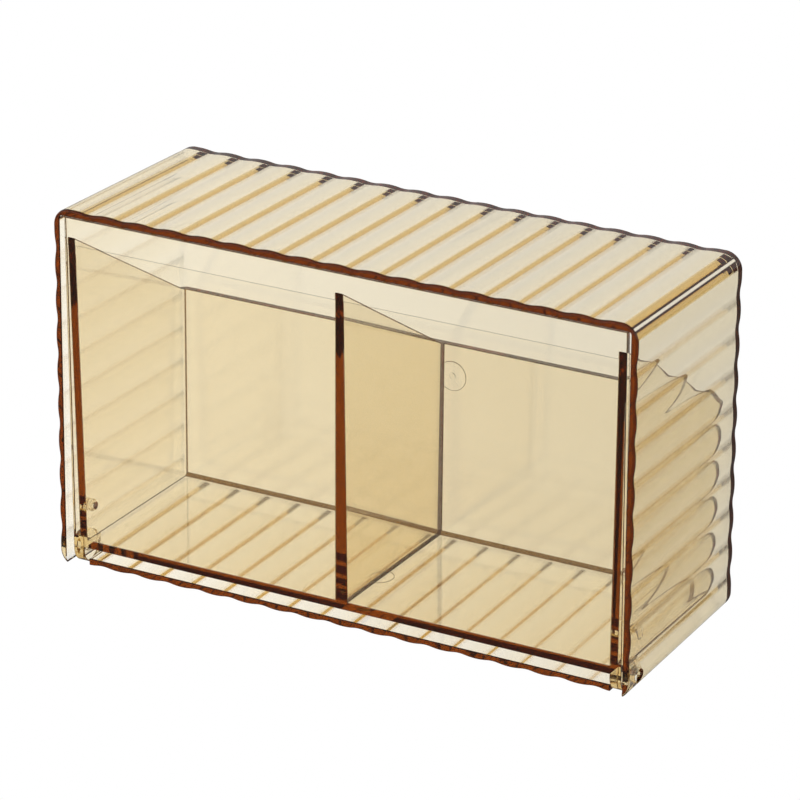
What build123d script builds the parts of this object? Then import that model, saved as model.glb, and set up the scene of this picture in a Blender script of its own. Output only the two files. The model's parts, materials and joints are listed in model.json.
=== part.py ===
from build123d import *
from math import asin, cos, sin, sqrt
import os

# A clear wall organizer: a ribbed casing, open at the front, and one bin that
# tilts out of it about two pins near the bottom. All sizes are millimetres.
# The origin is at the middle of the bounding box's bottom, the front faces -Y.
# The shapes are drawn from the underside's height at the very front, and are
# then lowered by SILL_LIFT, since the floor starts behind it and a little higher.

# Casing, measured over the rib crests at the open front
CASING_WIDTH = 210.0
CASING_HEIGHT = 126.0
CASING_DEPTH = 77.0
SIDE_DRAFT = 1.3  # each side wall leans in by this much at the back
LEVEL_DRAFT = 1.5  # the top and the bottom wall do so by this much
CASING_WALL = 2.4  # at a rib's crest
BACK_WALL = 2.2
CORNER_RADIUS = 6.0  # outer long edges
INNER_RADIUS = 1.0  # inner long edges
FRONT_BEVEL = 0.8  # outer rim of the open front
BACK_BEVEL = 0.8  # outer rim of the back wall
SILL_SETBACK = 4.2  # the floor's front edge lies this far behind the front

# Ribs, which run from front to back on all four walls
RIB_PITCH = 12.2
RIB_DEPTH = 0.54
RIB_VALLEY_RADIUS = 12.0  # a crest's arc runs smoothly into the valley's
RIB_MARGIN = 1.8  # from the outermost crest to the corner's arc

# Front panel of the bin, which leans back a little towards the bottom
PANEL_SIDE_GAP = 1.5
PANEL_TOP_GAP = 0.5
PANEL_TOP_INSET = 0.5  # behind the casing's front
PANEL_BOTTOM_INSET = 2.4
PANEL_THICKNESS = 2.3
PANEL_RELIEF = 0.4  # the strip along the top is thinner by this much
PANEL_RELIEF_HEIGHT = 9.6

# Tray of the bin
SILL_GAP = 4.6  # from the casing's floor to the bin
REAR_GAP = 4.6  # from the bin's foot to the casing's back wall
PLATE_THICKNESS = 2.4  # side plates and rear wall
PLATE_INSET = 0.7  # from the panel's edge to a side plate, at the top
PLATE_DRAFT = 1.4  # a side plate stands in by this much at the bottom
REAR_DRAFT = 2.2
PLATE_TOP_DROP = 7.3  # from the panel's top to the plates' front corner
REAR_WALL_HEIGHT = 69.5
BIN_FLOOR = 2.2
REAR_CORNER_RADIUS = 0.4  # inside the upright rear corners, concentric outside
REAR_FOOT_RADIUS = 1.2  # inside the level rear edge, concentric outside
DIVIDER_TOP = 2.6
DIVIDER_BOTTOM = 4.2

# Pivots and stops at the bin's lower corners
LUG_RADIUS = 5.7
LUG_WIDTH = 4.1
LUG_GROUND_GAP = 0.2  # the lug ends this far above the casing's underside
SLOT_CLEARANCE = 0.6  # round the lug, in the casing's floor
PIN_RADIUS = 2.4
PIN_FIT = 0.08
PIN_RECESS = 1.0  # the pin ends this far inside the casing's outer face
NUB_RADIUS = 2.1
NUB_CORE_RADIUS = 1.4  # blind hole in the nub, open to the inside
NUB_END_WALL = 2.0
NUB_BEHIND_PIN = 2.4
NUB_ABOVE_PIN = 13.6
NUB_GAP = 0.5

# Moulding gates: a shallow dish with a stub in it
GATE_RADIUS = 5.2
GATE_DEPTH = 0.4
GATE_STUB_RADIUS = 1.1
GATE_STUB_HEIGHT = 0.3
BIN_GATE_DEPTH = 29.0  # from the casing's front to the bin's gate
CASING_GATE_OFFSET = 1.7  # to the right of the middle

# Places worked out from the sizes
FRONT = -CASING_DEPTH / 2
BACK = CASING_DEPTH / 2
MIDDLE = CASING_HEIGHT / 2
CAVITY_DEPTH = CASING_DEPTH - BACK_WALL
CAVITY_HALF_WIDTH = CASING_WIDTH / 2 - CASING_WALL
PANEL_HALF_WIDTH = CAVITY_HALF_WIDTH - PANEL_SIDE_GAP
PANEL_TOP = CASING_HEIGHT - CASING_WALL - PANEL_TOP_GAP
BIN_BOTTOM = CASING_WALL + SILL_GAP
BIN_FLOOR_TOP = BIN_BOTTOM + BIN_FLOOR
PLATE_TOP = PANEL_TOP - PLATE_TOP_DROP
REAR_TOP = BIN_BOTTOM + REAR_WALL_HEIGHT
PIN_Y = FRONT + PANEL_BOTTOM_INSET + LUG_RADIUS
PIN_Z = LUG_GROUND_GAP + LUG_RADIUS
SILL_LIFT = LEVEL_DRAFT * SILL_SETBACK / CASING_DEPTH


def share_of_depth(y):
    """How far y lies between the casing's front (0) and its back (1)."""
    return (y - FRONT) / CASING_DEPTH


def cavity_half_width(y):
    return CAVITY_HALF_WIDTH - SIDE_DRAFT * share_of_depth(y)


def upright_plane(y):
    """Plane across the casing at depth y, seen from the front."""
    return Plane(origin=(0, y, MIDDLE), x_dir=(1, 0, 0), z_dir=(0, -1, 0))


def rib_count(length):
    """Ribs that fit between the corners of a wall of this length."""
    return round((length - 2 * (CORNER_RADIUS + RIB_MARGIN)) / RIB_PITCH) + 1


def ribbed_edge(length, reach, count, inset):
    """One wall's wavy outline from left to right, at a distance from the middle."""
    far_crest = length / 2 - CORNER_RADIUS - RIB_MARGIN
    half_pitch = far_crest / (count - 1)
    both_radii = (half_pitch**2 + RIB_DEPTH**2) / (2 * RIB_DEPTH)
    crest_radius = both_radii - RIB_VALLEY_RADIUS
    turn = asin(half_pitch / both_radii)
    top = reach - inset
    corner = length / 2 - CORNER_RADIUS

    def on_crest(crest, angle):
        return (crest + crest_radius * sin(angle), top - crest_radius * (1 - cos(angle)))

    edges = [Line((-corner, top), (-far_crest, top))]
    for number in range(count):
        crest = 2 * half_pitch * number - far_crest
        start = -turn if number else 0.0
        end = turn if number < count - 1 else 0.0
        middle = (start + end) / 2
        edges.append(ThreePointArc(on_crest(crest, start), on_crest(crest, middle), on_crest(crest, end)))
        if end:
            valley = (crest + half_pitch, top - RIB_DEPTH)
            edges.append(ThreePointArc(on_crest(crest, turn), valley, on_crest(crest + 2 * half_pitch, -turn)))
    edges.append(Line((far_crest, top), (corner, top)))
    return edges


def casing_section(y, inset=0.0):
    """Outer outline of the casing across depth y, drawn in by inset."""
    lean = share_of_depth(y)
    width = CASING_WIDTH - 2 * SIDE_DRAFT * lean
    height = CASING_HEIGHT - 2 * LEVEL_DRAFT * lean
    across, upright = rib_count(CASING_WIDTH), rib_count(CASING_HEIGHT)
    radius = CORNER_RADIUS - inset
    diagonal = radius * (1 - sqrt(0.5))
    edges = []
    for turn in range(4):
        sides = (width, height) if turn % 2 == 0 else (height, width)
        count = across if turn % 2 == 0 else upright
        side = ribbed_edge(sides[0], sides[1] / 2, count, inset)
        right, top = sides[0] / 2 - inset, sides[1] / 2 - inset
        side.append(
            ThreePointArc((right - radius, top), (right - diagonal, top - diagonal), (right, top - radius))
        )
        edges += [Rot(0, 0, -90 * turn) * edge for edge in side]
    return upright_plane(y) * make_face(edges)


def cavity():
    """Room inside the casing, which narrows towards the back as the walls do."""
    sections = []
    for y in (FRONT, FRONT + CAVITY_DEPTH):
        lean = share_of_depth(y)
        width = 2 * cavity_half_width(y)
        height = CASING_HEIGHT - 2 * (CASING_WALL + LEVEL_DRAFT * lean)
        sections.append(upright_plane(y) * RectangleRounded(width, height, INNER_RADIUS))
    return loft(sections, ruled=True)


def floor_cutouts():
    """Set-back of the floor's front edge, and a slot round each lug behind it."""
    height = CASING_HEIGHT / 2
    sill = Pos(0, FRONT, 0) * Box(CASING_WIDTH, 2 * SILL_SETBACK, height)
    slot_rear = PIN_Y + LUG_RADIUS + SLOT_CLEARANCE
    slot_inner = PANEL_HALF_WIDTH - LUG_WIDTH - SLOT_CLEARANCE
    slot_width = CASING_WIDTH / 2 - slot_inner
    cutouts = sill
    for side in (-1, 1):
        place = Pos(side * (slot_inner + slot_width / 2), (FRONT + slot_rear) / 2, 0)
        cutouts += place * Box(slot_width, slot_rear - FRONT, height)
    return cutouts


def gate_dish(radius):
    """Shallow dish with a stub, to be cut into a face that lies at height 0."""
    dish = Cylinder(radius, 2 * GATE_DEPTH)
    stub = Pos(0, 0, GATE_STUB_HEIGHT - GATE_DEPTH) * Cylinder(
        GATE_STUB_RADIUS, GATE_STUB_HEIGHT, align=(Align.CENTER, Align.CENTER, Align.MAX)
    )
    return dish - stub


def pin_cylinder(radius, inner_x, outer_x, side, y, z):
    """Cylinder along X on one side of the middle plane."""
    middle = Pos(side * (inner_x + outer_x) / 2, y, z)
    return middle * Rot(0, 90, 0) * Cylinder(radius, outer_x - inner_x)


def casing():
    """Ribbed casing with its cavity, sill, lug slots, pin holes and gate."""
    outer = loft(
        [
            casing_section(FRONT, FRONT_BEVEL),
            casing_section(FRONT + FRONT_BEVEL),
            casing_section(BACK - BACK_BEVEL),
            casing_section(BACK, BACK_BEVEL),
        ],
        ruled=True,
    )
    room = cavity()
    below = Pos(0, 0, -MIDDLE) * room
    body = outer - room - (below & floor_cutouts())
    for side in (-1, 1):
        body -= pin_cylinder(PIN_RADIUS + PIN_FIT, PANEL_HALF_WIDTH, CASING_WIDTH, side, PIN_Y, PIN_Z)
    body -= Pos(CASING_GATE_OFFSET, BACK, MIDDLE) * Rot(-90, 0, 0) * gate_dish(GATE_RADIUS)
    return body


def panel_front(z):
    """Depth of the panel's front face at height z."""
    share = (PANEL_TOP - z) / (PANEL_TOP - BIN_BOTTOM)
    return FRONT + PANEL_TOP_INSET + (PANEL_BOTTOM_INSET - PANEL_TOP_INSET) * share


def side_view(points, half_width):
    """Prism along X over an outline that is given as points of (y, z)."""
    outline = Polyline(*[(0, y, z) for y, z in points], close=True)
    face = make_face(outline)
    return extrude(face, half_width, dir=(1, 0, 0), both=True)


def front_panel():
    """Front panel, thinner along its top."""
    thin = PANEL_THICKNESS - PANEL_RELIEF
    relief = PANEL_TOP - PANEL_RELIEF_HEIGHT
    points = [
        (panel_front(BIN_BOTTOM), BIN_BOTTOM),
        (panel_front(PANEL_TOP), PANEL_TOP),
        (panel_front(PANEL_TOP) + thin, PANEL_TOP),
        (panel_front(relief) + thin, relief),
        (panel_front(relief) + PANEL_THICKNESS, relief),
        (panel_front(BIN_BOTTOM) + PANEL_THICKNESS, BIN_BOTTOM),
    ]
    return side_view(points, PANEL_HALF_WIDTH)


def rear_face(z, inset):
    """Depth of the rear wall's outer face at height z, drawn in by inset."""
    share = (z - BIN_BOTTOM) / (PLATE_TOP - BIN_BOTTOM)
    return FRONT + CAVITY_DEPTH - REAR_GAP + REAR_DRAFT * share - inset


def plate_half_width(z):
    """Half the width over the side plates at height z."""
    share = (PLATE_TOP - z) / (PLATE_TOP - BIN_BOTTOM)
    return PANEL_HALF_WIDTH - PLATE_INSET - PLATE_DRAFT * share


def tray_section(z, inset):
    """Level outline of the tray at height z: it starts in the panel, and its walls are drawn in."""
    front = panel_front(z) + PANEL_THICKNESS / 2 - inset
    rear = rear_face(z, inset)
    width = 2 * (plate_half_width(z) - inset)
    outline = Pos(0, (front + rear) / 2) * Rectangle(width, rear - front)
    corners = outline.vertices().group_by(Axis.Y)[-1]
    return Pos(0, 0, z) * fillet(corners, REAR_CORNER_RADIUS + PLATE_THICKNESS - inset)


def tray_block(bottom, inset):
    """Solid of the tray from its bottom up, with a rounded edge at the rear foot."""
    block = loft([tray_section(bottom, inset), tray_section(PLATE_TOP, inset)], ruled=True)
    front, rear = FRONT, rear_face(bottom, inset)
    top_rear = rear_face(PLATE_TOP, inset)
    points = [(front, bottom), (front, PLATE_TOP), (top_rear, PLATE_TOP), (rear, bottom)]
    prism = side_view(points, CASING_WIDTH)
    foot = prism.edges().filter_by(Axis.X).sort_by(lambda edge: edge.center().Y - edge.center().Z)[-1]
    return block & fillet(foot, REAR_FOOT_RADIUS + PLATE_THICKNESS - inset)


def tray_limit():
    """What the plates and the divider stay below: a slope down to the rear wall's top."""
    slope_front = panel_front(PLATE_TOP) + PANEL_THICKNESS
    slope_rear = rear_face(REAR_TOP, PLATE_THICKNESS)
    points = [
        (FRONT, BIN_BOTTOM),
        (FRONT, PLATE_TOP),
        (slope_front, PLATE_TOP),
        (slope_rear, REAR_TOP),
        (BACK, REAR_TOP),
        (BACK, BIN_BOTTOM),
    ]
    return side_view(points, CASING_WIDTH)


def divider():
    """Upright wall in the middle, thicker at its foot."""
    foot, head = DIVIDER_BOTTOM / 2, DIVIDER_TOP / 2
    points = [(-foot, BIN_BOTTOM), (-head, PLATE_TOP), (head, PLATE_TOP), (foot, BIN_BOTTOM)]
    outline = Polyline(*[(x, 0, z) for x, z in points], close=True)
    return extrude(make_face(outline), CASING_DEPTH / 2, dir=(0, 1, 0), both=True)


def tilt_bin():
    """Bin in one moulding: panel, tray, divider, lugs, pins and stop nubs."""
    outer = tray_block(BIN_BOTTOM, 0.0)
    hollow = tray_block(BIN_FLOOR_TOP, PLATE_THICKNESS)
    tray = (outer - (hollow - divider())) & tray_limit()
    body = tray + front_panel()
    nub_y, nub_z = PIN_Y + NUB_BEHIND_PIN, PIN_Z + NUB_ABOVE_PIN
    pin_end = CASING_WIDTH / 2 - SIDE_DRAFT * share_of_depth(PIN_Y) - PIN_RECESS
    nub_end = cavity_half_width(nub_y) - NUB_GAP
    nub_root = plate_half_width(nub_z) - PLATE_THICKNESS
    lug_inner = PANEL_HALF_WIDTH - LUG_WIDTH
    for side in (-1, 1):
        body += pin_cylinder(LUG_RADIUS, lug_inner, PANEL_HALF_WIDTH, side, PIN_Y, PIN_Z)
        body += pin_cylinder(PIN_RADIUS, lug_inner, pin_end, side, PIN_Y, PIN_Z)
        body += pin_cylinder(NUB_RADIUS, nub_root + PLATE_THICKNESS / 2, nub_end, side, nub_y, nub_z)
        core_end = nub_end - NUB_END_WALL
        body -= pin_cylinder(NUB_CORE_RADIUS, nub_root - NUB_END_WALL, core_end, side, nub_y, nub_z)
    gate = Pos(0, FRONT + BIN_GATE_DEPTH, BIN_BOTTOM) * Rot(180, 0, 0) * gate_dish(GATE_RADIUS)
    return body - gate


def main():
    os.makedirs("parts", exist_ok=True)
    seat = Pos(0, 0, -SILL_LIFT)
    export_step(seat * casing(), "parts/casing.step")
    export_step(seat * tilt_bin(), "parts/tilt_bin.step")


main()
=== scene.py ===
import json
import math

import bmesh
import bpy
from bpy.props import FloatProperty, FloatVectorProperty, IntProperty, PointerProperty
from bpy.types import Operator, Panel, PropertyGroup
from mathutils import Matrix, Vector


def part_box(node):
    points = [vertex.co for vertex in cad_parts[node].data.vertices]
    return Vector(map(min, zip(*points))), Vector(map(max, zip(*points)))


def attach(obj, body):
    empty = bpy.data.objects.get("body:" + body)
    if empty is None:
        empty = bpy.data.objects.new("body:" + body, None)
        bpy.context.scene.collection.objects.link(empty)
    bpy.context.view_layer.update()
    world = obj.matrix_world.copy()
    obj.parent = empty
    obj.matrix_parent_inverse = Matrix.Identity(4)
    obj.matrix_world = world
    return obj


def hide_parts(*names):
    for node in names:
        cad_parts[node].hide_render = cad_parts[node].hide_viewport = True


bl_info = {
    "name": "Wall Organizer",
    "version": (1, 0, 0),
    "blender": (4, 5, 0),
    "location": "3D View > Sidebar > Organizer",
    "description": "Models a clear ribbed wall organizer with a bin that tilts out",
    "category": "Add Mesh",
}

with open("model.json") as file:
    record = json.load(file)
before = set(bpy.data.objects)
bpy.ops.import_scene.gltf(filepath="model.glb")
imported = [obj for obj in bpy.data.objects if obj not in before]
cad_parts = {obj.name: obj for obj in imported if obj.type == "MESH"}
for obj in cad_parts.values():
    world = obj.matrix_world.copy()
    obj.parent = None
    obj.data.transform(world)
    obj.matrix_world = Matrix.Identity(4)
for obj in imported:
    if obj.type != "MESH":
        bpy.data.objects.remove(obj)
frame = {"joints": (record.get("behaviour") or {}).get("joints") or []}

MM = 0.001
CASING_LOW, CASING_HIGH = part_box("casing")
PIN = Vector(next(joint for joint in frame["joints"] if joint["name"] == "bin_tilt")["pos_m"])
# The edge mark and these slots carry painted shade: a dark colour laid on rounded edges, steps and hole
# walls, standing in for the dark lines that refraction draws there.
EDGE_SHADE_MARK = "painted_edge_shade"
SAME, HALF_EDGE_SHADE, FULL_EDGE_SHADE = -1, 1, 2  # material slots: the neighbour's, and two strengths of an edge
WELD = 1e-6  # vertices closer than this are one
CLOSING_GAP = 0.02 * MM  # between the two ends of the casing's outline
SLACK = MM / 10  # round the places whose edges are spared
FLAT_ANGLE = math.radians(0.2)
SHARP_ANGLE = math.radians(35)
SMOOTH_ANGLE = math.radians(40)
FACE_WEIGHT = 50
AREA_SLACK = 3e-5  # what narrow twisted faces may add to a piece's area, in square metres
ARC_STEP = math.radians(3)
EDGE_SEGMENTS, RIM_SEGMENTS, CAVITY_SEGMENTS = 3, 4, 5
HOLLOW_SEGMENTS, TRAY_SEGMENTS = 4, 10
LUG_FACETS, PIN_FACETS, CORE_FACETS = 96, 48, 32
WHITE = (1.0, 1.0, 1.0, 1.0)
CLOUD_COLOUR = (1.0, 0.55, 0.2, 1.0)
PAPER_COLOUR = (0.9, 0.9, 0.9, 1.0)
WAVE_SCALE, WAVE_DETAIL = 45.0, 1.0
SPOT_SCALE, SPOT_DETAIL = 110.0, 3.0
SPOT_START, SPOT_END = 0.55, 0.8  # share of the noise that turns into cloudy spots
FLOOR_SIZE = 30.0
FALL_DIRECTION = (1.0, 0.6, 0.0)  # along which the floor dims
FALL_START, FALL_END = -0.1, 0.12
CEILING_START, CEILING_END = 0.45, 0.8  # upward share of a direction
BOUNCES = 48
VOLUME_BOUNCES = 2
CAMERA_PLACE = (0.70039, -1.26467, 0.66135)
CAMERA_AZIMUTH, CAMERA_ELEVATION, CAMERA_ROLL = (math.radians(turn) for turn in (28.92, 22.36, 0.41))
CAMERA_LENS, CAMERA_SENSOR = 218.13, 36.0


class CasingSizes(PropertyGroup):
    """Sizes of the ribbed casing, measured over the rib crests at its open front."""

    wall: FloatProperty(name="Wall", description="Wall at a rib's crest", default=2.4 * MM, unit="LENGTH")
    back_wall: FloatProperty(name="Back Wall", description="Flat back", default=2.2 * MM, unit="LENGTH")
    corner: FloatProperty(
        name="Corner Radius", description="Outer long edges", default=6.0 * MM, unit="LENGTH"
    )
    inner_corner: FloatProperty(
        name="Inner Radius", description="Inner long edges", default=1.0 * MM, unit="LENGTH"
    )
    side_draft: FloatProperty(
        name="Side Draft", description="Lean of a side wall at the back", default=1.3 * MM, unit="LENGTH"
    )
    level_draft: FloatProperty(
        name="Level Draft", description="Lean of top and bottom at the back", default=1.5 * MM, unit="LENGTH"
    )
    sill: FloatProperty(
        name="Sill Setback", description="Floor edge behind the front", default=4.2 * MM, unit="LENGTH"
    )
    rib_pitch: FloatProperty(name="Rib Pitch", description="Crest to crest", default=12.2 * MM, unit="LENGTH")
    rib_depth: FloatProperty(
        name="Rib Depth", description="Crest to valley", default=0.54 * MM, unit="LENGTH"
    )
    valley: FloatProperty(
        name="Valley Radius", description="Round groove between two ribs", default=12.0 * MM, unit="LENGTH"
    )
    margin: FloatProperty(
        name="Rib Margin", description="Outermost crest to corner", default=1.8 * MM, unit="LENGTH"
    )
    front_round: FloatProperty(
        name="Front Rounding", description="Outer rim of the open front", default=0.9 * MM, unit="LENGTH"
    )
    back_round: FloatProperty(
        name="Back Rounding", description="Outer rim of the back", default=0.8 * MM, unit="LENGTH"
    )
    edge_round: FloatProperty(
        name="Edge Rounding", description="All moulded edges", default=0.3 * MM, unit="LENGTH"
    )
    rib_facets: IntProperty(
        name="Rib Facets", description="Facets across one rib's crest", default=14, min=4, max=24
    )


class BinSizes(PropertyGroup):
    """Sizes of the bin, which fits in the casing with running gaps."""

    side_gap: FloatProperty(name="Side Gap", description="Panel to casing", default=1.5 * MM, unit="LENGTH")
    top_gap: FloatProperty(name="Top Gap", description="Panel to casing", default=0.5 * MM, unit="LENGTH")
    top_inset: FloatProperty(
        name="Top Inset", description="Panel's top behind the front", default=0.5 * MM, unit="LENGTH"
    )
    bottom_inset: FloatProperty(
        name="Bottom Inset", description="Panel's foot behind the front", default=2.4 * MM, unit="LENGTH"
    )
    panel: FloatProperty(name="Panel", description="Panel thickness", default=2.3 * MM, unit="LENGTH")
    relief: FloatProperty(
        name="Relief", description="Thinner strip along the panel's top", default=0.4 * MM, unit="LENGTH"
    )
    relief_height: FloatProperty(
        name="Relief Height", description="Height of that strip", default=9.6 * MM, unit="LENGTH"
    )
    sill_gap: FloatProperty(
        name="Sill Gap", description="Casing floor to the bin", default=4.6 * MM, unit="LENGTH"
    )
    rear_gap: FloatProperty(
        name="Rear Gap", description="Bin's foot to the casing's back", default=4.6 * MM, unit="LENGTH"
    )
    plate: FloatProperty(name="Plate", description="Side and rear walls", default=2.4 * MM, unit="LENGTH")
    plate_inset: FloatProperty(
        name="Plate Inset", description="Panel's edge to a plate", default=0.7 * MM, unit="LENGTH"
    )
    plate_draft: FloatProperty(
        name="Plate Draft", description="Lean of a plate at its foot", default=1.4 * MM, unit="LENGTH"
    )
    rear_draft: FloatProperty(
        name="Rear Draft", description="Lean of the rear wall", default=2.2 * MM, unit="LENGTH"
    )
    top_drop: FloatProperty(
        name="Top Drop", description="Panel's top to the plates' corner", default=7.3 * MM, unit="LENGTH"
    )
    rear_height: FloatProperty(
        name="Rear Height", description="Height of the rear wall", default=69.5 * MM, unit="LENGTH"
    )
    floor: FloatProperty(name="Floor", description="Floor thickness", default=2.2 * MM, unit="LENGTH")
    corner: FloatProperty(
        name="Corner Radius", description="Inside the rear corners", default=0.4 * MM, unit="LENGTH"
    )
    foot: FloatProperty(
        name="Foot Radius", description="Inside the level rear edge", default=1.2 * MM, unit="LENGTH"
    )
    divider_top: FloatProperty(
        name="Divider Top", description="Divider's thickness at its top", default=2.6 * MM, unit="LENGTH"
    )
    divider_foot: FloatProperty(
        name="Divider Foot", description="Divider's thickness at its foot", default=4.2 * MM, unit="LENGTH"
    )
    lug: FloatProperty(name="Lug Radius", description="Round lug", default=5.7 * MM, unit="LENGTH")
    lug_width: FloatProperty(name="Lug Width", description="Along the pin", default=4.1 * MM, unit="LENGTH")
    slot_gap: FloatProperty(
        name="Slot Gap", description="Round a lug in the floor", default=0.6 * MM, unit="LENGTH"
    )
    pin: FloatProperty(name="Pin Radius", description="Pivot pin", default=2.4 * MM, unit="LENGTH")
    pin_fit: FloatProperty(name="Pin Fit", description="Round a pin", default=0.08 * MM, unit="LENGTH")
    pin_recess: FloatProperty(
        name="Pin Recess", description="Pin's end inside the outer face", default=1.0 * MM, unit="LENGTH"
    )
    nub: FloatProperty(name="Nub Radius", description="Stop nub", default=2.1 * MM, unit="LENGTH")
    nub_core: FloatProperty(
        name="Nub Core", description="Radius of the blind hole in a nub", default=1.4 * MM, unit="LENGTH"
    )
    nub_end: FloatProperty(
        name="Nub End Wall", description="Solid end of a nub", default=2.0 * MM, unit="LENGTH"
    )
    nub_behind: FloatProperty(
        name="Nub Behind Pin", description="Stop nub's place", default=2.4 * MM, unit="LENGTH"
    )
    nub_above: FloatProperty(
        name="Nub Above Pin", description="Stop nub's place", default=13.6 * MM, unit="LENGTH"
    )
    nub_gap: FloatProperty(name="Nub Gap", description="Nub to casing", default=0.5 * MM, unit="LENGTH")
    edge_round: FloatProperty(
        name="Edge Rounding", description="All moulded edges", default=0.22 * MM, unit="LENGTH"
    )
    gate_back: FloatProperty(
        name="Gate Place", description="Casing's front to the bin's gate", default=29 * MM, unit="LENGTH"
    )


class GateSizes(PropertyGroup):
    """Round mark where the plastic ran into a mould: a shallow dish with a stub in it."""

    radius: FloatProperty(name="Dish Radius", description="Round dish", default=5.2 * MM, unit="LENGTH")
    depth: FloatProperty(name="Dish Depth", description="Into the wall", default=0.4 * MM, unit="LENGTH")
    stub: FloatProperty(
        name="Stub Radius", description="Cut stub in the dish", default=1.1 * MM, unit="LENGTH"
    )
    stub_height: FloatProperty(
        name="Stub Height", description="From the dish's bottom", default=0.3 * MM, unit="LENGTH"
    )
    offset: FloatProperty(
        name="Casing Offset", description="Right of the casing's middle", default=1.7 * MM, unit="LENGTH"
    )


class PlasticLook(PropertyGroup):
    """Colour and clearness of the moulded plastic, and the painted shade on its edges."""

    tint: FloatVectorProperty(
        name="Tint",
        description="What a thick piece lets through",
        subtype="COLOR",
        default=(0.82, 0.59, 0.0),
        min=0.0,
        max=1.0,
    )
    density: FloatProperty(name="Density", description="Strength of the tint, per metre", default=100.0)
    ior: FloatProperty(name="Refraction", description="Index of refraction", default=1.57)
    # Dark colour painted on marked edges, standing in for the shade that refraction gives them.
    shaded_edge_colour: FloatVectorProperty(
        name="Edge Tint",
        description="What a rounded edge lets through",
        subtype="COLOR",
        default=(0.06, 0.02, 0.002),
        min=0.0,
        max=1.0,
    )
    ripple: FloatProperty(
        name="Ripple", description="Waviness of the moulded faces", default=0.004 * MM, unit="LENGTH"
    )
    haze: FloatProperty(name="Haze", description="Roughness of the cloudiest spots", default=0.03)
    cloud: FloatProperty(name="Cloud", description="Scattering in the plastic, per metre", default=3.5)


class StudioLook(PropertyGroup):
    """Brightness of the surroundings."""

    gloss: FloatProperty(name="Gloss", description="Brightness of the room in reflections", default=0.5)
    floor_gloss: FloatProperty(
        name="Floor Gloss", description="Brightness of the floor in reflections", default=0.15
    )
    ceiling: FloatProperty(
        name="Ceiling", description="Brightness of the room overhead, seen through the plastic", default=0.35
    )
    fill: FloatProperty(name="Fill", description="Brightness of the room on matt things", default=0.8)
    left_floor: FloatProperty(
        name="Left Floor", description="Brightness of the floor, seen through the plastic", default=1.045
    )
    right_floor: FloatProperty(
        name="Right Floor", description="Brightness of the floor, seen through the plastic", default=0.84
    )


def arc_steps(turn):
    """Facets for an arc that turns this far."""
    return max(2, round(abs(turn) / ARC_STEP))


def edit(piece):
    """Opens one piece in edit mode with nothing selected."""
    bpy.ops.object.select_all(action="DESELECT")
    bpy.context.view_layer.objects.active = piece
    piece.select_set(True)
    bpy.ops.object.mode_set(mode="EDIT")
    bpy.ops.mesh.select_all(action="DESELECT")


def close_edit():
    """Goes back to object mode."""
    bpy.ops.object.mode_set(mode="OBJECT")


def pick(piece, kind, test):
    """In edit mode, selects the vertices, edges or faces whose corners pass a test."""
    bpy.ops.mesh.select_mode(type=kind)
    bpy.ops.mesh.select_all(action="DESELECT")
    shape = bmesh.from_edit_mesh(piece.data)
    parts = {"VERT": shape.verts, "EDGE": shape.edges, "FACE": shape.faces}[kind]
    found = 0
    for part in parts:
        corners = [part.co] if kind == "VERT" else [vert.co for vert in part.verts]
        if test(corners):
            part.select_set(True)
            found += 1
    bmesh.update_edit_mesh(piece.data)
    if not found:
        raise RuntimeError("nothing to select on " + piece.name)


def near(value, goal, slack=MM / 100):
    """Whether two numbers are the same but for rounding."""
    return abs(value - goal) < slack


def add_slots(piece):
    """Empty material slots: faces, half painted edge shade and full painted edge shade."""
    for _ in range(FULL_EDGE_SHADE + 1):
        piece.data.materials.append(None)


def add_block(name, low, high):
    """Box between two corners, with its place in its mesh."""
    bpy.ops.object.select_all(action="DESELECT")
    bpy.ops.mesh.primitive_cube_add(size=1.0)
    block = bpy.context.object
    block.name = name
    low, high = Vector(low), Vector(high)
    block.location = (low + high) / 2
    block.scale = high - low
    bpy.ops.object.transform_apply(location=True, rotation=True, scale=True)
    add_slots(block)
    return block


def add_rod(name, radius, start, end, vertices=PIN_FACETS):
    """Cylinder from one point to another."""
    start, end = Vector(start), Vector(end)
    bpy.ops.object.select_all(action="DESELECT")
    bpy.ops.mesh.primitive_cylinder_add(vertices=vertices, radius=radius, depth=(end - start).length)
    rod = bpy.context.object
    rod.name = name
    rod.rotation_euler = (end - start).to_track_quat("Z", "Y").to_euler()
    rod.location = (start + end) / 2
    bpy.ops.object.transform_apply(location=True, rotation=True, scale=True)
    add_slots(rod)
    return rod


def cut(piece, tool, operation="DIFFERENCE"):
    """Boolean of a piece with a tool, which is then gone."""
    change = piece.modifiers.new("Cut", "BOOLEAN")
    change.operation = operation
    change.solver = "MANIFOLD"
    change.object = tool
    bpy.ops.object.select_all(action="DESELECT")
    bpy.context.view_layer.objects.active = piece
    piece.select_set(True)
    bpy.ops.object.modifier_apply(modifier=change.name)
    bpy.data.objects.remove(tool, do_unlink=True)


def paint_edge_shade(piece, test):
    """Paints full edge shade, a dark colour standing in for shade, on the faces that pass a test."""
    for face in piece.data.polygons:
        if test([piece.data.vertices[number].co for number in face.vertices]):
            face.material_index = FULL_EDGE_SHADE


def is_side(corners):
    """Whether a rod's face belongs to its round side."""
    return len(corners) == 4


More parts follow.
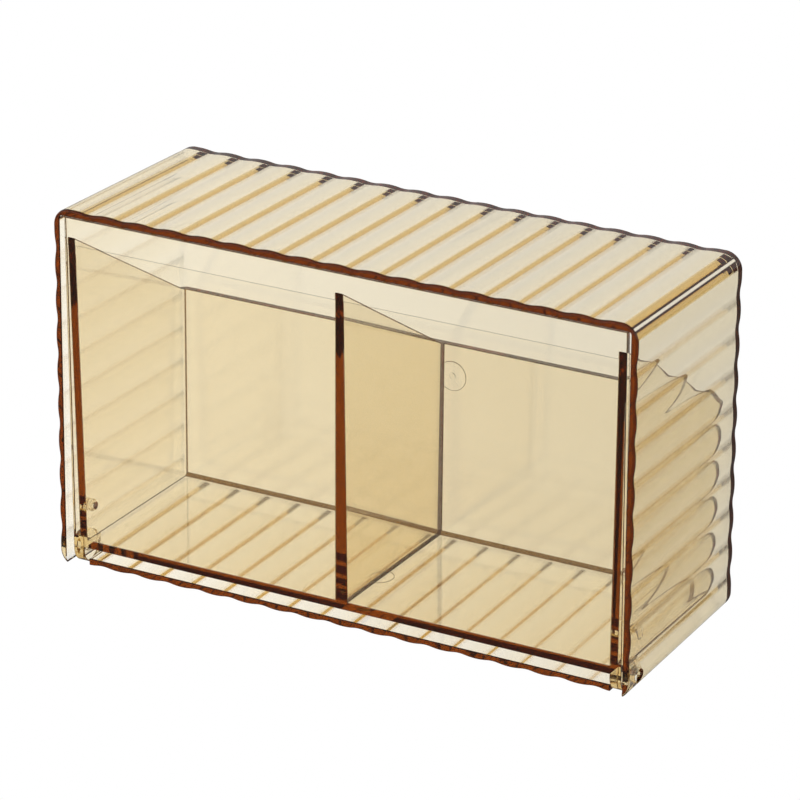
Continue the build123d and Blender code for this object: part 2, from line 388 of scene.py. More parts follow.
def round_edges(piece, width, spare=lambda corners: False):
    """Small moulded rounding on every sharp edge but those to spare."""
    edit(piece)
    bpy.ops.mesh.select_all(action="SELECT")
    bpy.ops.mesh.remove_doubles(threshold=WELD)
    bpy.ops.mesh.dissolve_limited(angle_limit=FLAT_ANGLE)
    bpy.ops.mesh.select_all(action="DESELECT")
    bpy.ops.mesh.select_mode(type="EDGE")
    bpy.ops.mesh.edges_select_sharp(sharpness=SHARP_ANGLE)
    shape = bmesh.from_edit_mesh(piece.data)
    for side in shape.edges:
        if side.select and spare([vert.co for vert in side.verts]):
            side.select_set(False)
    bmesh.update_edit_mesh(piece.data)
    # The new rounded faces get full painted edge shade.
    bpy.ops.mesh.bevel(
        offset=width,
        segments=EDGE_SEGMENTS,
        affect="EDGES",
        clamp_overlap=False,
        material=FULL_EDGE_SHADE,
        miter_outer="ARC",
    )
    close_edit()


def smooth_faces(piece):
    """Smooth shading over arcs, flat faces kept flat, and the painted edge shade kept as an attribute."""
    edit(piece)
    bpy.ops.mesh.select_all(action="SELECT")
    bpy.ops.mesh.dissolve_degenerate(threshold=WELD)
    close_edit()
    mark = piece.data.attributes.new(EDGE_SHADE_MARK, "FLOAT", "FACE")
    for face, entry in zip(piece.data.polygons, mark.data):
        entry.value = face.material_index / FULL_EDGE_SHADE
        face.material_index = 0
    bpy.ops.object.shade_smooth_by_angle(angle=SMOOTH_ANGLE)
    weight = piece.modifiers.new("Flat Faces", "WEIGHTED_NORMAL")
    weight.keep_sharp = True
    weight.weight = FACE_WEIGHT
    bpy.ops.object.modifier_apply(modifier=weight.name)


class Pen:
    """Draws the casing's outline: extrudes and spins one front-to-back edge."""

    def __init__(self, piece, place, heading):
        self.piece = piece
        self.place = Vector(place)
        self.heading = heading

    def direction(self, turn=0.0):
        """Way ahead, or a turn to the left of it."""
        angle = self.heading + turn
        return Vector((math.cos(angle), 0.0, math.sin(angle)))

    def straight(self, length):
        """Flat part of this length."""
        step = self.direction() * length
        bpy.ops.mesh.extrude_edges_move(TRANSFORM_OT_translate={"value": step})
        self.place += step

    def arc(self, radius, turn, steps=None):
        """Turns clockwise, seen from the front, by a positive turn."""
        side = -1.0 if turn > 0 else 1.0
        centre = self.place + self.direction(side * math.pi / 2) * radius
        bpy.ops.mesh.spin(
            steps=steps or arc_steps(turn), angle=-turn, center=centre, axis=(0.0, 1.0, 0.0), dupli=False
        )
        arm = self.place - centre
        self.place = centre + Matrix.Rotation(turn, 3, "Y") @ arm
        self.heading -= turn


def rib_count(length, sizes):
    """Rib crests on a wall of this length."""
    return round((length - 2 * (sizes.corner + sizes.margin)) / sizes.rib_pitch) + 1


def draw_wall(pen, length, sizes):
    """One ribbed wall, from the end of one corner to the start of the next."""
    count = rib_count(length, sizes)
    half_pitch = (length / 2 - sizes.corner - sizes.margin) / (count - 1)
    both_radii = (half_pitch**2 + sizes.rib_depth**2) / (2 * sizes.rib_depth)
    turn = math.asin(half_pitch / both_radii)
    crest = both_radii - sizes.valley
    facets = sizes.rib_facets
    pen.straight(sizes.margin)
    for number in range(count - 1):
        if number:
            pen.arc(crest, 2 * turn, facets)
        else:
            pen.arc(crest, turn, facets // 2)
        pen.arc(sizes.valley, -2 * turn, facets)
    pen.arc(crest, turn, facets // 2)
    pen.straight(sizes.margin)


def casing_facts(sizes):
    """Width, height, middle height and the small lift of the floor at its edge."""
    lift = sizes.level_draft * sizes.sill / (CASING_HIGH.y - CASING_LOW.y)
    width = CASING_HIGH.x - CASING_LOW.x
    height = CASING_HIGH.z - CASING_LOW.z + lift
    return width, height, CASING_HIGH.z - height / 2, lift


def lean_at(y):
    """How far a depth lies between the casing's front (0) and back (1)."""
    return (y - CASING_LOW.y) / (CASING_HIGH.y - CASING_LOW.y)


def cavity_half_width(y, sizes):
    """Inner face of a side wall at a depth."""
    return casing_facts(sizes)[0] / 2 - sizes.wall - sizes.side_draft * lean_at(y)


def add_ribbed_block(sizes):
    """Solid block with the casing's ribbed outer skin."""
    width, height, middle, _ = casing_facts(sizes)
    left = -width / 2 + sizes.corner
    top = middle + height / 2
    bpy.ops.object.select_all(action="DESELECT")
    bpy.ops.mesh.primitive_plane_add(size=CASING_HIGH.y - CASING_LOW.y)
    block = bpy.context.object
    block.name = "casing_shell"
    add_slots(block)
    edit(block)
    pick(block, "VERT", lambda c: c[0].x > 0)
    bpy.ops.mesh.delete(type="VERT")
    pick(block, "VERT", lambda c: True)
    across = block.data.vertices[0].co.x
    offset = Vector((left - across, (CASING_LOW.y + CASING_HIGH.y) / 2, top))
    bpy.ops.transform.translate(value=offset)
    bpy.ops.mesh.select_mode(type="EDGE")
    bpy.ops.mesh.select_all(action="SELECT")
    pen = Pen(block, (left, 0.0, top), 0.0)
    for number in range(4):
        draw_wall(pen, width if number % 2 == 0 else height, sizes)
        pen.arc(sizes.corner, math.pi / 2)
    bpy.ops.mesh.select_all(action="SELECT")
    bpy.ops.mesh.remove_doubles(threshold=CLOSING_GAP)
    narrow = 1 - 2 * sizes.side_draft / width
    low = 1 - 2 * sizes.level_draft / height
    pick(block, "VERT", lambda c: c[0].y > 0)
    bpy.ops.transform.resize(value=(narrow, 1.0, low), center_override=(0.0, 0.0, middle))
    for side in (CASING_LOW.y, CASING_HIGH.y):
        pick(block, "EDGE", lambda c: all(near(v.y, side) for v in c))
        bpy.ops.mesh.edge_face_add()
    bpy.ops.mesh.select_all(action="SELECT")
    bpy.ops.mesh.normals_make_consistent(inside=False)
    # The front rim's rounding gets half painted edge shade; the back rim keeps the faces' clear colour.
    rims = ((CASING_LOW.y, sizes.front_round, HALF_EDGE_SHADE), (CASING_HIGH.y, sizes.back_round, SAME))
    for side, rounding, material in rims:
        pick(block, "EDGE", lambda c: all(near(v.y, side) for v in c))
        bpy.ops.mesh.bevel(offset=rounding, segments=RIM_SEGMENTS, affect="EDGES", material=material)
    close_edit()
    return block


def add_cavity(sizes, drop=0.0):
    """Room inside the casing, or the same room moved down past the floor."""
    width, height, middle, _ = casing_facts(sizes)
    rear = CASING_HIGH.y - sizes.back_wall
    half_width, half_height = width / 2 - sizes.wall, height / 2 - sizes.wall
    beyond = 2 * MM
    ahead = beyond / (rear - CASING_LOW.y)
    lean = lean_at(rear)
    room = add_block(
        "cavity",
        (-half_width, CASING_LOW.y - beyond, middle - half_height - drop),
        (half_width, rear, middle + half_height - drop),
    )
    edit(room)
    for sign, side in ((1.0, rear), (-ahead, CASING_LOW.y - beyond)):
        pick(room, "VERT", lambda c: near(c[0].y, side))
        across = 1 - sign * sizes.side_draft * lean / half_width
        upright = 1 - sign * sizes.level_draft * lean / half_height
        bpy.ops.transform.resize(
            value=(across, 1.0, upright), center_override=(0.0, side, middle - drop)
        )
    pick(room, "EDGE", lambda c: not near(c[0].y, c[1].y))
    bpy.ops.mesh.bevel(offset=sizes.inner_corner, segments=CAVITY_SEGMENTS, affect="EDGES")
    close_edit()
    return room


def cut_gate(piece, place, inward, gate):
    """Round gate mark in a face."""
    floor = place + inward * gate.depth
    dish = add_rod("gate_dish", gate.radius, place - inward * gate.depth, floor)
    round_edges(dish, gate.depth / 2)
    stub = add_rod("gate_stub", gate.stub, floor - inward * gate.stub_height, floor + inward * gate.depth)
    # The dish's and stub's round walls get painted edge shade.
    paint_edge_shade(dish, is_side)
    paint_edge_shade(stub, is_side)
    cut(dish, stub)
    cut(piece, dish)


def slot_ends(sizes, bin_sizes):
    """Inner side and rear end of the lug slots in the casing's floor."""
    width = casing_facts(sizes)[0]
    inner = width / 2 - sizes.wall - bin_sizes.side_gap - bin_sizes.lug_width - bin_sizes.slot_gap
    return inner, PIN.y + bin_sizes.lug + bin_sizes.slot_gap


def add_floor_cutter(sizes, bin_sizes):
    """What is cut from the floor: a strip along its front and the two lug slots."""
    width, height, _, _ = casing_facts(sizes)
    inner, rear = slot_ends(sizes, bin_sizes)
    cutter = add_cavity(sizes, drop=height / 2)
    kept = add_block(
        "kept_floor", (-width, CASING_LOW.y + sizes.sill, -height), (width, CASING_HIGH.y, height)
    )
    for side in (-1, 1):
        left, right = sorted((side * inner, side * width))
        slot = add_block("slot", (left, CASING_LOW.y, -2 * height), (right, rear, 2 * height))
        cut(kept, slot)
    cut(cutter, kept)
    return cutter


def build_casing(sizes, bin_sizes, gate):
    """Ribbed shell with its cavity, sill, lug slots, pin holes and gate mark."""
    width, _, middle, _ = casing_facts(sizes)
    slot_inner, slot_rear = slot_ends(sizes, bin_sizes)
    slot_outer = cavity_half_width(slot_rear, sizes) - sizes.wall
    rear = CASING_HIGH.y - sizes.back_wall

    def at_rear_or_foot(corners):
        return all(near(v.y, rear) for v in corners) or all(
            v.y < slot_rear + MM and abs(v.x) > slot_outer and v.z < sizes.corner for v in corners
        )

    shell = add_ribbed_block(sizes)
    cut(shell, add_cavity(sizes))
    cut(shell, add_floor_cutter(sizes, bin_sizes))
    round_edges(shell, sizes.edge_round, at_rear_or_foot)
    for side in (-1, 1):
        start, end = (side * slot_inner, PIN.y, PIN.z), (side * width, PIN.y, PIN.z)
        hole = add_rod("pin_hole", bin_sizes.pin + bin_sizes.pin_fit, start, end)
        # The pin holes' walls get painted edge shade.
        paint_edge_shade(hole, is_side)
        cut(shell, hole)
    cut_gate(shell, Vector((gate.offset, CASING_HIGH.y, middle)), Vector((0.0, -1.0, 0.0)), gate)
    smooth_faces(shell)
    return shell


class BinFacts:
    """Places on the bin, worked out from its sizes and the casing's."""

    def __init__(self, sizes, casing):
        width, _, _, lift = casing_facts(casing)
        self.sizes = sizes
        self.half_width = width / 2 - casing.wall - sizes.side_gap
        self.top = CASING_HIGH.z - casing.wall - sizes.top_gap
        self.bottom = casing.wall + sizes.sill_gap - lift
        self.floor_top = self.bottom + sizes.floor
        self.plate_top = self.top - sizes.top_drop
        self.rear_top = self.bottom + sizes.rear_height
        self.rear = CASING_HIGH.y - casing.back_wall - sizes.rear_gap

    def panel_front(self, z):
        """Depth of the panel's front face at a height."""
        share = (self.top - z) / (self.top - self.bottom)
        inset = self.sizes.top_inset + (self.sizes.bottom_inset - self.sizes.top_inset) * share
        return CASING_LOW.y + inset

    def rear_face(self, z, inset=0.0):
        """Depth of the rear wall's outer face at a height."""
        share = (z - self.bottom) / (self.plate_top - self.bottom)
        return self.rear + self.sizes.rear_draft * share - inset

    def at_relief(self, place):
        """Whether a place is as high as the step under the panel's thinner strip."""
        relief = self.top - self.sizes.relief_height
        return relief - self.sizes.relief < place.z < relief + self.sizes.relief / 2

    def at_rear_foot(self, place):
        """Whether a place is where a round corner runs into the round foot."""
        sizes = self.sizes
        reach = sizes.corner + sizes.plate + SLACK
        return (
            place.z < self.floor_top + sizes.foot + SLACK
            and place.y > self.rear - reach
            and abs(place.x) > self.plate_half_width(self.bottom) - reach
        )

    def plate_half_width(self, z):
        """Outer face of a side plate at a height."""
        share = (self.plate_top - z) / (self.plate_top - self.bottom)
        return self.half_width - self.sizes.plate_inset - self.sizes.plate_draft * share


def drafted_block(name, facts, bottom, top, inset, half_width=None):
    """Block whose four sides follow the bin's draft, drawn in by inset."""
    front = facts.panel_front(bottom) + facts.sizes.panel / 2 - inset
    block = add_block(name, (-1.0, front, bottom), (1.0, facts.rear_face(bottom, inset), top))
    edit(block)
    for z in (bottom, top):
        half = half_width or facts.plate_half_width(z) - inset
        pick(block, "VERT", lambda c: near(c[0].z, z))
        bpy.ops.transform.resize(value=(half, 1.0, 1.0), center_override=(0.0, 0.0, z))
    pick(block, "VERT", lambda c: near(c[0].z, top) and c[0].y > 0)
    shift = facts.rear_face(top, inset) - facts.rear_face(bottom, inset)
    bpy.ops.transform.translate(value=(0.0, shift, 0.0))
    pick(block, "VERT", lambda c: near(c[0].z, top) and c[0].y < 0)
    shift = facts.panel_front(top) - facts.panel_front(bottom)
    bpy.ops.transform.translate(value=(0.0, shift, 0.0))
    close_edit()
    return block


def tray_block(name, facts, bottom, inset):
    """Block with round upright rear corners, met by one with a round rear foot."""
    top = facts.plate_top
    wall = facts.sizes.plate - inset
    # Inside the hollow the rounded rear corners and foot get painted edge shade.
    segments, material = (HOLLOW_SEGMENTS, FULL_EDGE_SHADE) if inset else (TRAY_SEGMENTS, SAME)
    arc = {"segments": segments, "affect": "EDGES", "material": material}
    block = drafted_block(name, facts, bottom, top, inset)
    edit(block)
    pick(block, "EDGE", lambda c: all(v.y > 0 for v in c) and not near(c[0].z, c[1].z))
    bpy.ops.mesh.bevel(offset=facts.sizes.corner + wall, **arc)
    close_edit()
    foot = drafted_block("foot", facts, bottom, top, inset, half_width=facts.half_width * 2)
    edit(foot)
    pick(foot, "EDGE", lambda c: all(v.y > 0 and near(v.z, bottom) for v in c))
    bpy.ops.mesh.bevel(offset=facts.sizes.foot + wall, **arc)
    close_edit()
    cut(block, foot, "INTERSECT")
    return block


def add_slope_tool(facts):
    """What is cut away above the plates: down a slope, then level over the rear wall."""
    start = facts.panel_front(facts.plate_top) + facts.sizes.panel
    end = facts.rear_face(facts.rear_top, facts.sizes.plate + 2 * facts.sizes.edge_round)
    tool = add_block(
        "slope",
        (-facts.half_width * 2, start, facts.rear_top),
        (facts.half_width * 2, CASING_HIGH.y, facts.top),
    )
    edit(tool)
    bpy.ops.mesh.select_all(action="SELECT")
    bpy.ops.mesh.bisect(plane_co=(0.0, end, 0.0), plane_no=(0.0, 1.0, 0.0))
    pick(tool, "VERT", lambda c: near(c[0].y, start) and near(c[0].z, facts.rear_top))
    bpy.ops.transform.translate(value=(0.0, 0.0, facts.plate_top - facts.rear_top))
    close_edit()
    return tool


def add_panel(facts):
    """Front panel, which leans back a little and is thinner along its top."""
    sizes = facts.sizes
    front = facts.panel_front(facts.bottom)
    panel = add_block(
        "panel",
        (-facts.half_width, front, facts.bottom),
        (facts.half_width, front + sizes.panel, facts.top),
    )
    edit(panel)
    pick(panel, "VERT", lambda c: near(c[0].z, facts.top))
    bpy.ops.transform.translate(value=(0.0, facts.panel_front(facts.top) - front, 0.0))
    relief = facts.top - sizes.relief_height
    for z in (relief, relief - sizes.relief / 2):
        bpy.ops.mesh.select_all(action="SELECT")
        bpy.ops.mesh.bisect(plane_co=(0.0, 0.0, z), plane_no=(0.0, 0.0, 1.0))

    def on_thin_strip(corners):
        depth = corners[0].y - facts.panel_front(corners[0].z)
        return corners[0].z > relief - sizes.relief / 4 and depth > sizes.panel / 2

    pick(panel, "VERT", on_thin_strip)
    bpy.ops.transform.translate(value=(0.0, -sizes.relief, 0.0))
    close_edit()
    # The step under the thinner strip gets painted edge shade, a dark line standing in for shade.
    paint_edge_shade(
        panel, lambda c: all(facts.at_relief(v) and v.y > facts.panel_front(v.z) + MM for v in c)
    )
    return panel


def add_divider(facts):
    """Upright wall in the middle, thicker at its foot."""
    sizes = facts.sizes
    foot, head = sizes.divider_foot / 2, sizes.divider_top / 2
    wall = add_block(
        "divider",
        (-foot, facts.panel_front(facts.bottom), facts.bottom),
        (foot, CASING_HIGH.y, facts.plate_top),
    )
    edit(wall)
    pick(wall, "VERT", lambda c: near(c[0].z, facts.plate_top))
    bpy.ops.transform.resize(value=(head / foot, 1.0, 1.0), center_override=(0.0, 0.0, 0.0))
    pick(wall, "FACE", lambda c: all(near(v.z, facts.plate_top) for v in c))
    bpy.ops.mesh.extrude_region_move(TRANSFORM_OT_translate={"value": (0.0, 0.0, sizes.floor + MM)})
    close_edit()
    return wall


def add_hollow(facts):
    """Room inside the bin, parted by the divider."""
    hollow = tray_block("hollow", facts, facts.floor_top, facts.sizes.plate)
    edit(hollow)
    pick(hollow, "VERT", lambda c: near(c[0].z, facts.plate_top))
    bpy.ops.transform.translate(value=(0.0, 0.0, facts.sizes.floor))
    close_edit()
    cut(hollow, add_divider(facts))
    return hollow


def add_pivots(tray, facts, casing):
    """Lugs with their pins, and nubs with blind holes from inside, on both sides."""
    sizes = facts.sizes
    nub_y, nub_z = PIN.y + sizes.nub_behind, PIN.z + sizes.nub_above
    nub_end = cavity_half_width(nub_y, casing) - sizes.nub_gap
    nub_root = facts.plate_half_width(nub_z) - sizes.plate / 2
    lug_inner = facts.half_width - sizes.lug_width
    pin_root = facts.half_width - sizes.lug_width / 2
    pin_end = casing_facts(casing)[0] / 2 - casing.side_draft * lean_at(PIN.y) - sizes.pin_recess
    rods = (
        ("lug", sizes.lug, lug_inner, facts.half_width, PIN.y, PIN.z, LUG_FACETS),
        ("pin", sizes.pin, pin_root, pin_end, PIN.y, PIN.z, PIN_FACETS),
        ("nub", sizes.nub, nub_root, nub_end, nub_y, nub_z, PIN_FACETS),
    )
    for side in (-1, 1):
        for name, radius, inner, outer, y, z, vertices in rods:
            rod = add_rod(name, radius, (side * inner, y, z), (side * outer, y, z), vertices)
            round_edges(rod, sizes.edge_round)
            cut(tray, rod, "UNION")
        core_start = (side * (nub_root - sizes.plate), nub_y, nub_z)
        core_end = (side * (nub_end - sizes.nub_end), nub_y, nub_z)
        cut(tray, add_rod("nub_core", sizes.nub_core, core_start, core_end, CORE_FACETS))


def build_bin(sizes, casing, gate):
    """Bin in one moulding: tray, divider, panel, lugs, pins, nubs and gate mark."""
    facts = BinFacts(sizes, casing)

    def at_relief_or_foot(corners):
        return all(facts.at_relief(v) for v in corners) or all(facts.at_rear_foot(v) for v in corners)

    tray = tray_block("bin_moulding", facts, facts.bottom, 0.0)
    cut(tray, add_hollow(facts))
    cut(tray, add_slope_tool(facts))
    cut(tray, add_panel(facts), "UNION")
    round_edges(tray, sizes.edge_round, at_relief_or_foot)
    add_pivots(tray, facts, casing)
    place = Vector((0.0, CASING_LOW.y + sizes.gate_back, facts.bottom))
    cut_gate(tray, place, Vector((0.0, 0.0, 1.0)), gate)
    smooth_faces(tray)
    return tray


def new_group(name, inputs, outputs):
    """Empty shader node group with its sockets."""
    group = bpy.data.node_groups.new(name, "ShaderNodeTree")
    for title, kind in inputs:
        group.interface.new_socket(title, in_out="INPUT", socket_type=kind)
    for title, kind in outputs:
        group.interface.new_socket(title, in_out="OUTPUT", socket_type=kind)
    return group, group.nodes.new("NodeGroupInput"), group.nodes.new("NodeGroupOutput")


def add_node(nodes, kind, **values):
    """Shader node with some inputs set; an underscore stands for a space in an input's name."""
    node = nodes.new("ShaderNode" + kind)
    for name, value in values.items():
        node.inputs[name.replace("_", " ")].default_value = value
    return node


def combine(nodes, links, operation, first, second):
    """Math node between two sockets or numbers."""
    node = add_node(nodes, "Math")
    node.operation = operation
    for number, value in enumerate((first, second)):
        if isinstance(value, float):
            node.inputs[number].default_value = value
        else:
            links.new(value, node.inputs[number])
    return node.outputs[0]


def moulding_group():
    """Faint waviness and cloudy spots of a moulded face."""
    if "moulding" in bpy.data.node_groups:
        return bpy.data.node_groups["moulding"]
    number, vector = "NodeSocketFloat", "NodeSocketVector"
    group, start, end = new_group(
        "moulding",
        (("Place", vector), ("Ripple", number), ("Haze", number)),
        (("Height", number), ("Roughness", number)),
    )
    links = group.links
    waves = add_node(group.nodes, "TexNoise", Scale=WAVE_SCALE, Detail=WAVE_DETAIL)
    clouds = add_node(group.nodes, "TexNoise", Scale=SPOT_SCALE, Detail=SPOT_DETAIL)
    for noise in (waves, clouds):
        links.new(start.outputs["Place"], noise.inputs["Vector"])
    height = combine(group.nodes, links, "MULTIPLY", waves.outputs["Fac"], start.outputs["Ripple"])
    links.new(height, end.inputs["Height"])
    spots = add_node(group.nodes, "MapRange", From_Min=SPOT_START, From_Max=SPOT_END)
    links.new(clouds.outputs["Fac"], spots.inputs["Value"])
    links.new(start.outputs["Haze"], spots.inputs["To Max"])
    links.new(spots.outputs["Result"], end.inputs["Roughness"])
    return group


def edge_shade_group():
    """Painted edge shade: the edge mark mixes a dark colour into the clear one, with the faces left clear."""
    if "painted_shade_colour" in bpy.data.node_groups:
        return bpy.data.node_groups["painted_shade_colour"]
    group, start, end = new_group(
        "painted_shade_colour",
        # The Tint input is the painted shade colour.
        (("Edge", "NodeSocketFloat"), ("Clear", "NodeSocketColor"), ("Tint", "NodeSocketColor")),
        (("Color", "NodeSocketColor"),),
    )
    blend = add_node(group.nodes, "Mix")
    blend.data_type = "RGBA"
    group.links.new(start.outputs["Edge"], blend.inputs["Factor"])
    group.links.new(start.outputs["Clear"], blend.inputs["A"])
    group.links.new(start.outputs["Tint"], blend.inputs["B"])
    group.links.new(blend.outputs["Result"], end.inputs["Color"])
    return group


def use_group(nodes, group):
    """Node that stands for a node group."""
    node = add_node(nodes, "Group")
    node.node_tree = group
    return node


def clear_plastic(name, look):
    """Polished clear plastic whose tint deepens with thickness, with painted shade on its edges."""
    material = bpy.data.materials.new(name)
    material.use_nodes = True
    nodes, links = material.node_tree.nodes, material.node_tree.links
    shader = nodes["Principled BSDF"]
    shader.inputs["Transmission Weight"].default_value = 1.0
    shader.inputs["IOR"].default_value = look.ior
    place = add_node(nodes, "TexCoord")
    surface = use_group(nodes, moulding_group())
    surface.inputs["Ripple"].default_value = look.ripple
    surface.inputs["Haze"].default_value = look.haze
    links.new(place.outputs["Object"], surface.inputs["Place"])
    links.new(surface.outputs["Roughness"], shader.inputs["Roughness"])
    bump = add_node(nodes, "Bump", Distance=1.0)
    links.new(surface.outputs["Height"], bump.inputs["Height"])
    links.new(bump.outputs["Normal"], shader.inputs["Normal"])
    # Painted edge shade: the edge mark darkens the base colour on rounded edges, steps and hole walls.
    mark = add_node(nodes, "Attribute")
    mark.attribute_name = EDGE_SHADE_MARK
    colour = use_group(nodes, edge_shade_group())
    colour.inputs["Clear"].default_value = WHITE
    colour.inputs["Tint"].default_value = (*look.shaded_edge_colour, 1.0)
    links.new(mark.outputs["Fac"], colour.inputs["Edge"])
    links.new(colour.outputs["Color"], shader.inputs["Base Color"])
    tint = add_node(nodes, "VolumeAbsorption", Color=(*look.tint, 1.0), Density=look.density)
    cloud = add_node(nodes, "VolumeScatter", Color=CLOUD_COLOUR, Density=look.cloud)
    body = add_node(nodes, "AddShader")
    links.new(tint.outputs["Volume"], body.inputs[0])
    links.new(cloud.outputs["Volume"], body.inputs[1])
    links.new(body.outputs[0], nodes["Material Output"].inputs["Volume"])
    return material


def check_whole(piece, node):
    """Stops the script when a cut has lost a part of a piece or left it open."""
    shape = bmesh.new()
    shape.from_mesh(piece.data)
    closed = all(side.is_manifold for side in shape.edges)
    volume = shape.calc_volume(signed=True)
    shape.free()
    piece.data.calc_loop_triangles()
    filled = sum(part.area for part in piece.data.loop_triangles)
    closed = closed and near(filled, sum(face.area for face in piece.data.polygons), AREA_SLACK)
    corners = [piece.matrix_world @ Vector(corner) for corner in piece.bound_box]
    low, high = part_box(node)
    for axis in range(3):
        reach = [corner[axis] for corner in corners]
        closed = closed and near(min(reach), low[axis], MM / 2) and near(max(reach), high[axis], MM / 2)
    if not closed or volume <= 0.0:
        raise RuntimeError(f"{piece.name} came out open or in a wrong size")


def settle(piece, name, node, body, material):
    """Names a finished piece, gives it its finish and ties it to the frame."""
    piece.name = name
    piece.data.name = name
    check_whole(piece, node)
    piece.data.materials.clear()
    piece.data.materials.append(material)
    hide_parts(node)
    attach(piece, body)


class ORGANIZER_OT_casing(Operator):
    """Adds the ribbed casing"""

    bl_idname = "organizer.casing"
    bl_label = "Ribbed Casing"

    def execute(self, context):
        scene = context.scene
        piece = build_casing(scene.casing_sizes, scene.bin_sizes, scene.gate_sizes)
        material = clear_plastic("casing_plastic", scene.plastic_look)
        settle(piece, "ribbed_casing", "casing", "casing", material)
        return {"FINISHED"}


class ORGANIZER_OT_bin(Operator):
    """Adds the bin that tilts out"""

    bl_idname = "organizer.bin"
    bl_label = "Tilt-Out Bin"

    def execute(self, context):
        scene = context.scene
        piece = build_bin(scene.bin_sizes, scene.casing_sizes, scene.gate_sizes)
        material = clear_plastic("bin_plastic", scene.plastic_look)
        settle(piece, "divided_bin", "tilt_bin", "tilt_bin", material)
        return {"FINISHED"}


def seen_strength(nodes, links, gloss, through):
    """Strength 1 for the eye, through behind clear plastic and gloss in reflections."""
    path = add_node(nodes, "LightPath").outputs
    reflected = combine(nodes, links, "SUBTRACT", path["Is Glossy Ray"], path["Is Transmission Ray"])
    reflected = combine(nodes, links, "MAXIMUM", reflected, 0.0)
    reflected = combine(nodes, links, "MULTIPLY", reflected, gloss)
    passed = combine(nodes, links, "MULTIPLY", path["Is Transmission Ray"], through)
    seen = combine(nodes, links, "ADD", path["Is Camera Ray"], passed)
    return combine(nodes, links, "ADD", seen, reflected), path


def add_floor(look):
    """Pale paper floor that the eye sees as white, dimmer to the right behind the plastic."""
    bpy.ops.object.select_all(action="DESELECT")
    bpy.ops.mesh.primitive_plane_add(size=FLOOR_SIZE, location=(0.0, 0.0, 0.0))
    floor = bpy.context.object
    floor.name = "studio_floor"
    bpy.ops.object.transform_apply(location=True, rotation=True, scale=True)
    paper = bpy.data.materials.new("studio_paper")
    paper.use_nodes = True
    nodes, links = paper.node_tree.nodes, paper.node_tree.links
    shader = nodes["Principled BSDF"]
    shader.inputs["Base Color"].default_value = PAPER_COLOUR
    white = add_node(nodes, "Emission")
    place = add_node(nodes, "TexCoord")
    along = add_node(nodes, "VectorMath")
    along.operation = "DOT_PRODUCT"
    along.inputs[1].default_value = FALL_DIRECTION
    links.new(place.outputs["Object"], along.inputs[0])
    ends = {"To_Min": look.left_floor, "To_Max": look.right_floor}
    fall = add_node(nodes, "MapRange", From_Min=FALL_START, From_Max=FALL_END, **ends)
    links.new(along.outputs["Value"], fall.inputs["Value"])
    strength, path = seen_strength(nodes, links, look.floor_gloss, fall.outputs["Result"])
    links.new(strength, white.inputs["Strength"])
    mix = add_node(nodes, "MixShader")
    links.new(path["Is Diffuse Ray"], mix.inputs["Fac"])
    links.new(white.outputs[0], mix.inputs[1])
    links.new(shader.outputs[0], mix.inputs[2])
    links.new(mix.outputs[0], nodes["Material Output"].inputs["Surface"])
    floor.data.materials.append(paper)


def add_room(scene, look):
    """White room round the floor, darker overhead."""
    world = bpy.data.worlds.new("studio")
    scene.world = world
    world.use_nodes = True
    nodes, links = world.node_tree.nodes, world.node_tree.links
    direction = add_node(nodes, "TexCoord")
    split = add_node(nodes, "SeparateXYZ")
    links.new(direction.outputs["Generated"], split.inputs[0])
    ends = {"To_Min": 1.0, "To_Max": look.ceiling}
    level = add_node(nodes, "MapRange", From_Min=CEILING_START, From_Max=CEILING_END, **ends)
    level.interpolation_type = "SMOOTHSTEP"
    links.new(split.outputs["Z"], level.inputs["Value"])
    gloss = combine(nodes, links, "MULTIPLY", level.outputs["Result"], look.gloss)
    strength, path = seen_strength(nodes, links, gloss, level.outputs["Result"])
    matt = combine(nodes, links, "MULTIPLY", path["Is Diffuse Ray"], look.fill)
    links.new(combine(nodes, links, "ADD", strength, matt), nodes["Background"].inputs["Strength"])
    nodes["Background"].inputs["Color"].default_value = WHITE


def add_camera(scene):
    """Camera that looks down on the front from the right."""
    level = Vector((math.cos(CAMERA_AZIMUTH), math.sin(CAMERA_AZIMUTH), 0.0))
    back = math.cos(CAMERA_ELEVATION) * Vector((level.y, -level.x, 0.0))
    back.z = math.sin(CAMERA_ELEVATION)
    upright = back.cross(level)
    right = math.cos(CAMERA_ROLL) * level + math.sin(CAMERA_ROLL) * upright
    up = math.cos(CAMERA_ROLL) * upright - math.sin(CAMERA_ROLL) * level
    bpy.ops.object.camera_add(location=CAMERA_PLACE)
    camera = bpy.context.object
    camera.rotation_euler = Matrix((right, up, back)).transposed().to_euler()
    camera.data.sensor_width = CAMERA_SENSOR
    camera.data.lens = CAMERA_LENS
    scene.camera = camera


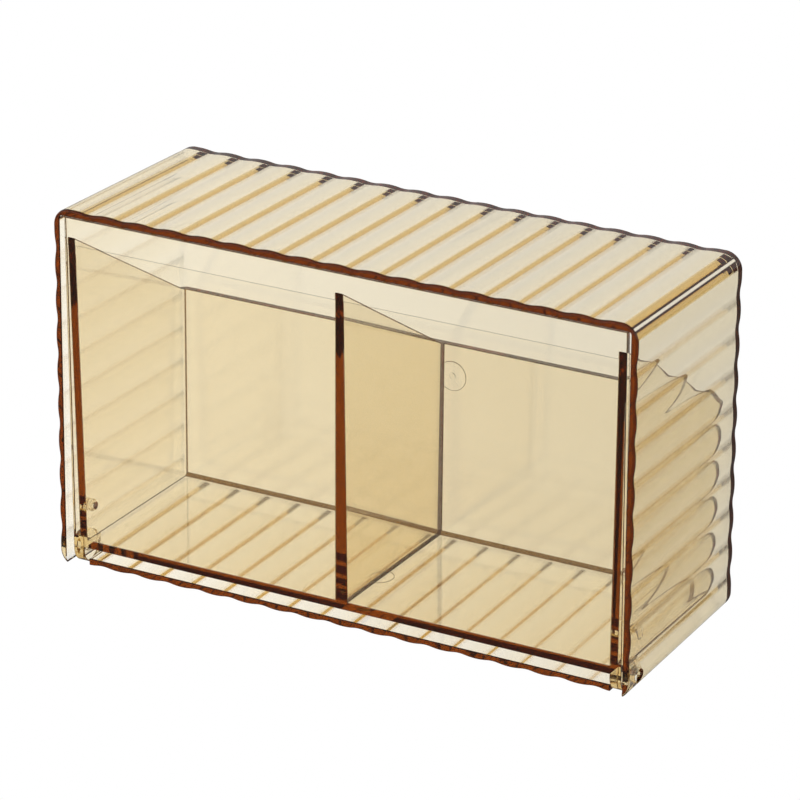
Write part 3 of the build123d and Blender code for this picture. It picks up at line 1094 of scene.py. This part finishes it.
class ORGANIZER_OT_studio(Operator):
    """Adds the pale floor, the white room and the camera"""

    bl_idname = "organizer.studio"
    bl_label = "Studio"

    def execute(self, context):
        scene = context.scene
        add_floor(scene.studio_look)
        add_room(scene, scene.studio_look)
        add_camera(scene)
        scene.view_settings.view_transform = "Standard"
        scene.cycles.max_bounces = BOUNCES
        scene.cycles.transmission_bounces = BOUNCES
        scene.cycles.glossy_bounces = BOUNCES
        scene.cycles.volume_bounces = VOLUME_BOUNCES
        return {"FINISHED"}


class ORGANIZER_PT_sidebar(Panel):
    """Lists the organizer's pieces with their sizes and finish"""

    bl_idname = "ORGANIZER_PT_sidebar"
    bl_label = "Wall Organizer"
    bl_space_type = "VIEW_3D"
    bl_region_type = "UI"
    bl_category = "Organizer"

    def draw(self, context):
        for operator in (ORGANIZER_OT_casing, ORGANIZER_OT_bin, ORGANIZER_OT_studio):
            self.layout.operator(operator.bl_idname)
        for name in SETTINGS:
            settings = getattr(context.scene, name)
            box = self.layout.box()
            box.label(text=name.replace("_", " ").title())
            for key in settings.__annotations__:
                box.prop(settings, key)


SETTINGS = {
    "casing_sizes": CasingSizes,
    "bin_sizes": BinSizes,
    "gate_sizes": GateSizes,
    "plastic_look": PlasticLook,
    "studio_look": StudioLook,
}
CLASSES = (
    *SETTINGS.values(),
    ORGANIZER_OT_casing,
    ORGANIZER_OT_bin,
    ORGANIZER_OT_studio,
    ORGANIZER_PT_sidebar,
)


def register():
    """Adds the classes and the settings of the scene."""
    for kind in CLASSES:
        bpy.utils.register_class(kind)
    for name, kind in SETTINGS.items():
        setattr(bpy.types.Scene, name, PointerProperty(type=kind))


def unregister():
    """Takes the settings and the classes away."""
    for name in SETTINGS:
        delattr(bpy.types.Scene, name)
    for kind in reversed(CLASSES):
        bpy.utils.unregister_class(kind)


def main():
    """Builds both pieces and the studio."""
    register()
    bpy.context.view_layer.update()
    bpy.ops.organizer.casing()
    bpy.ops.organizer.bin()
    bpy.ops.organizer.studio()


if __name__ == "__main__":
    main()
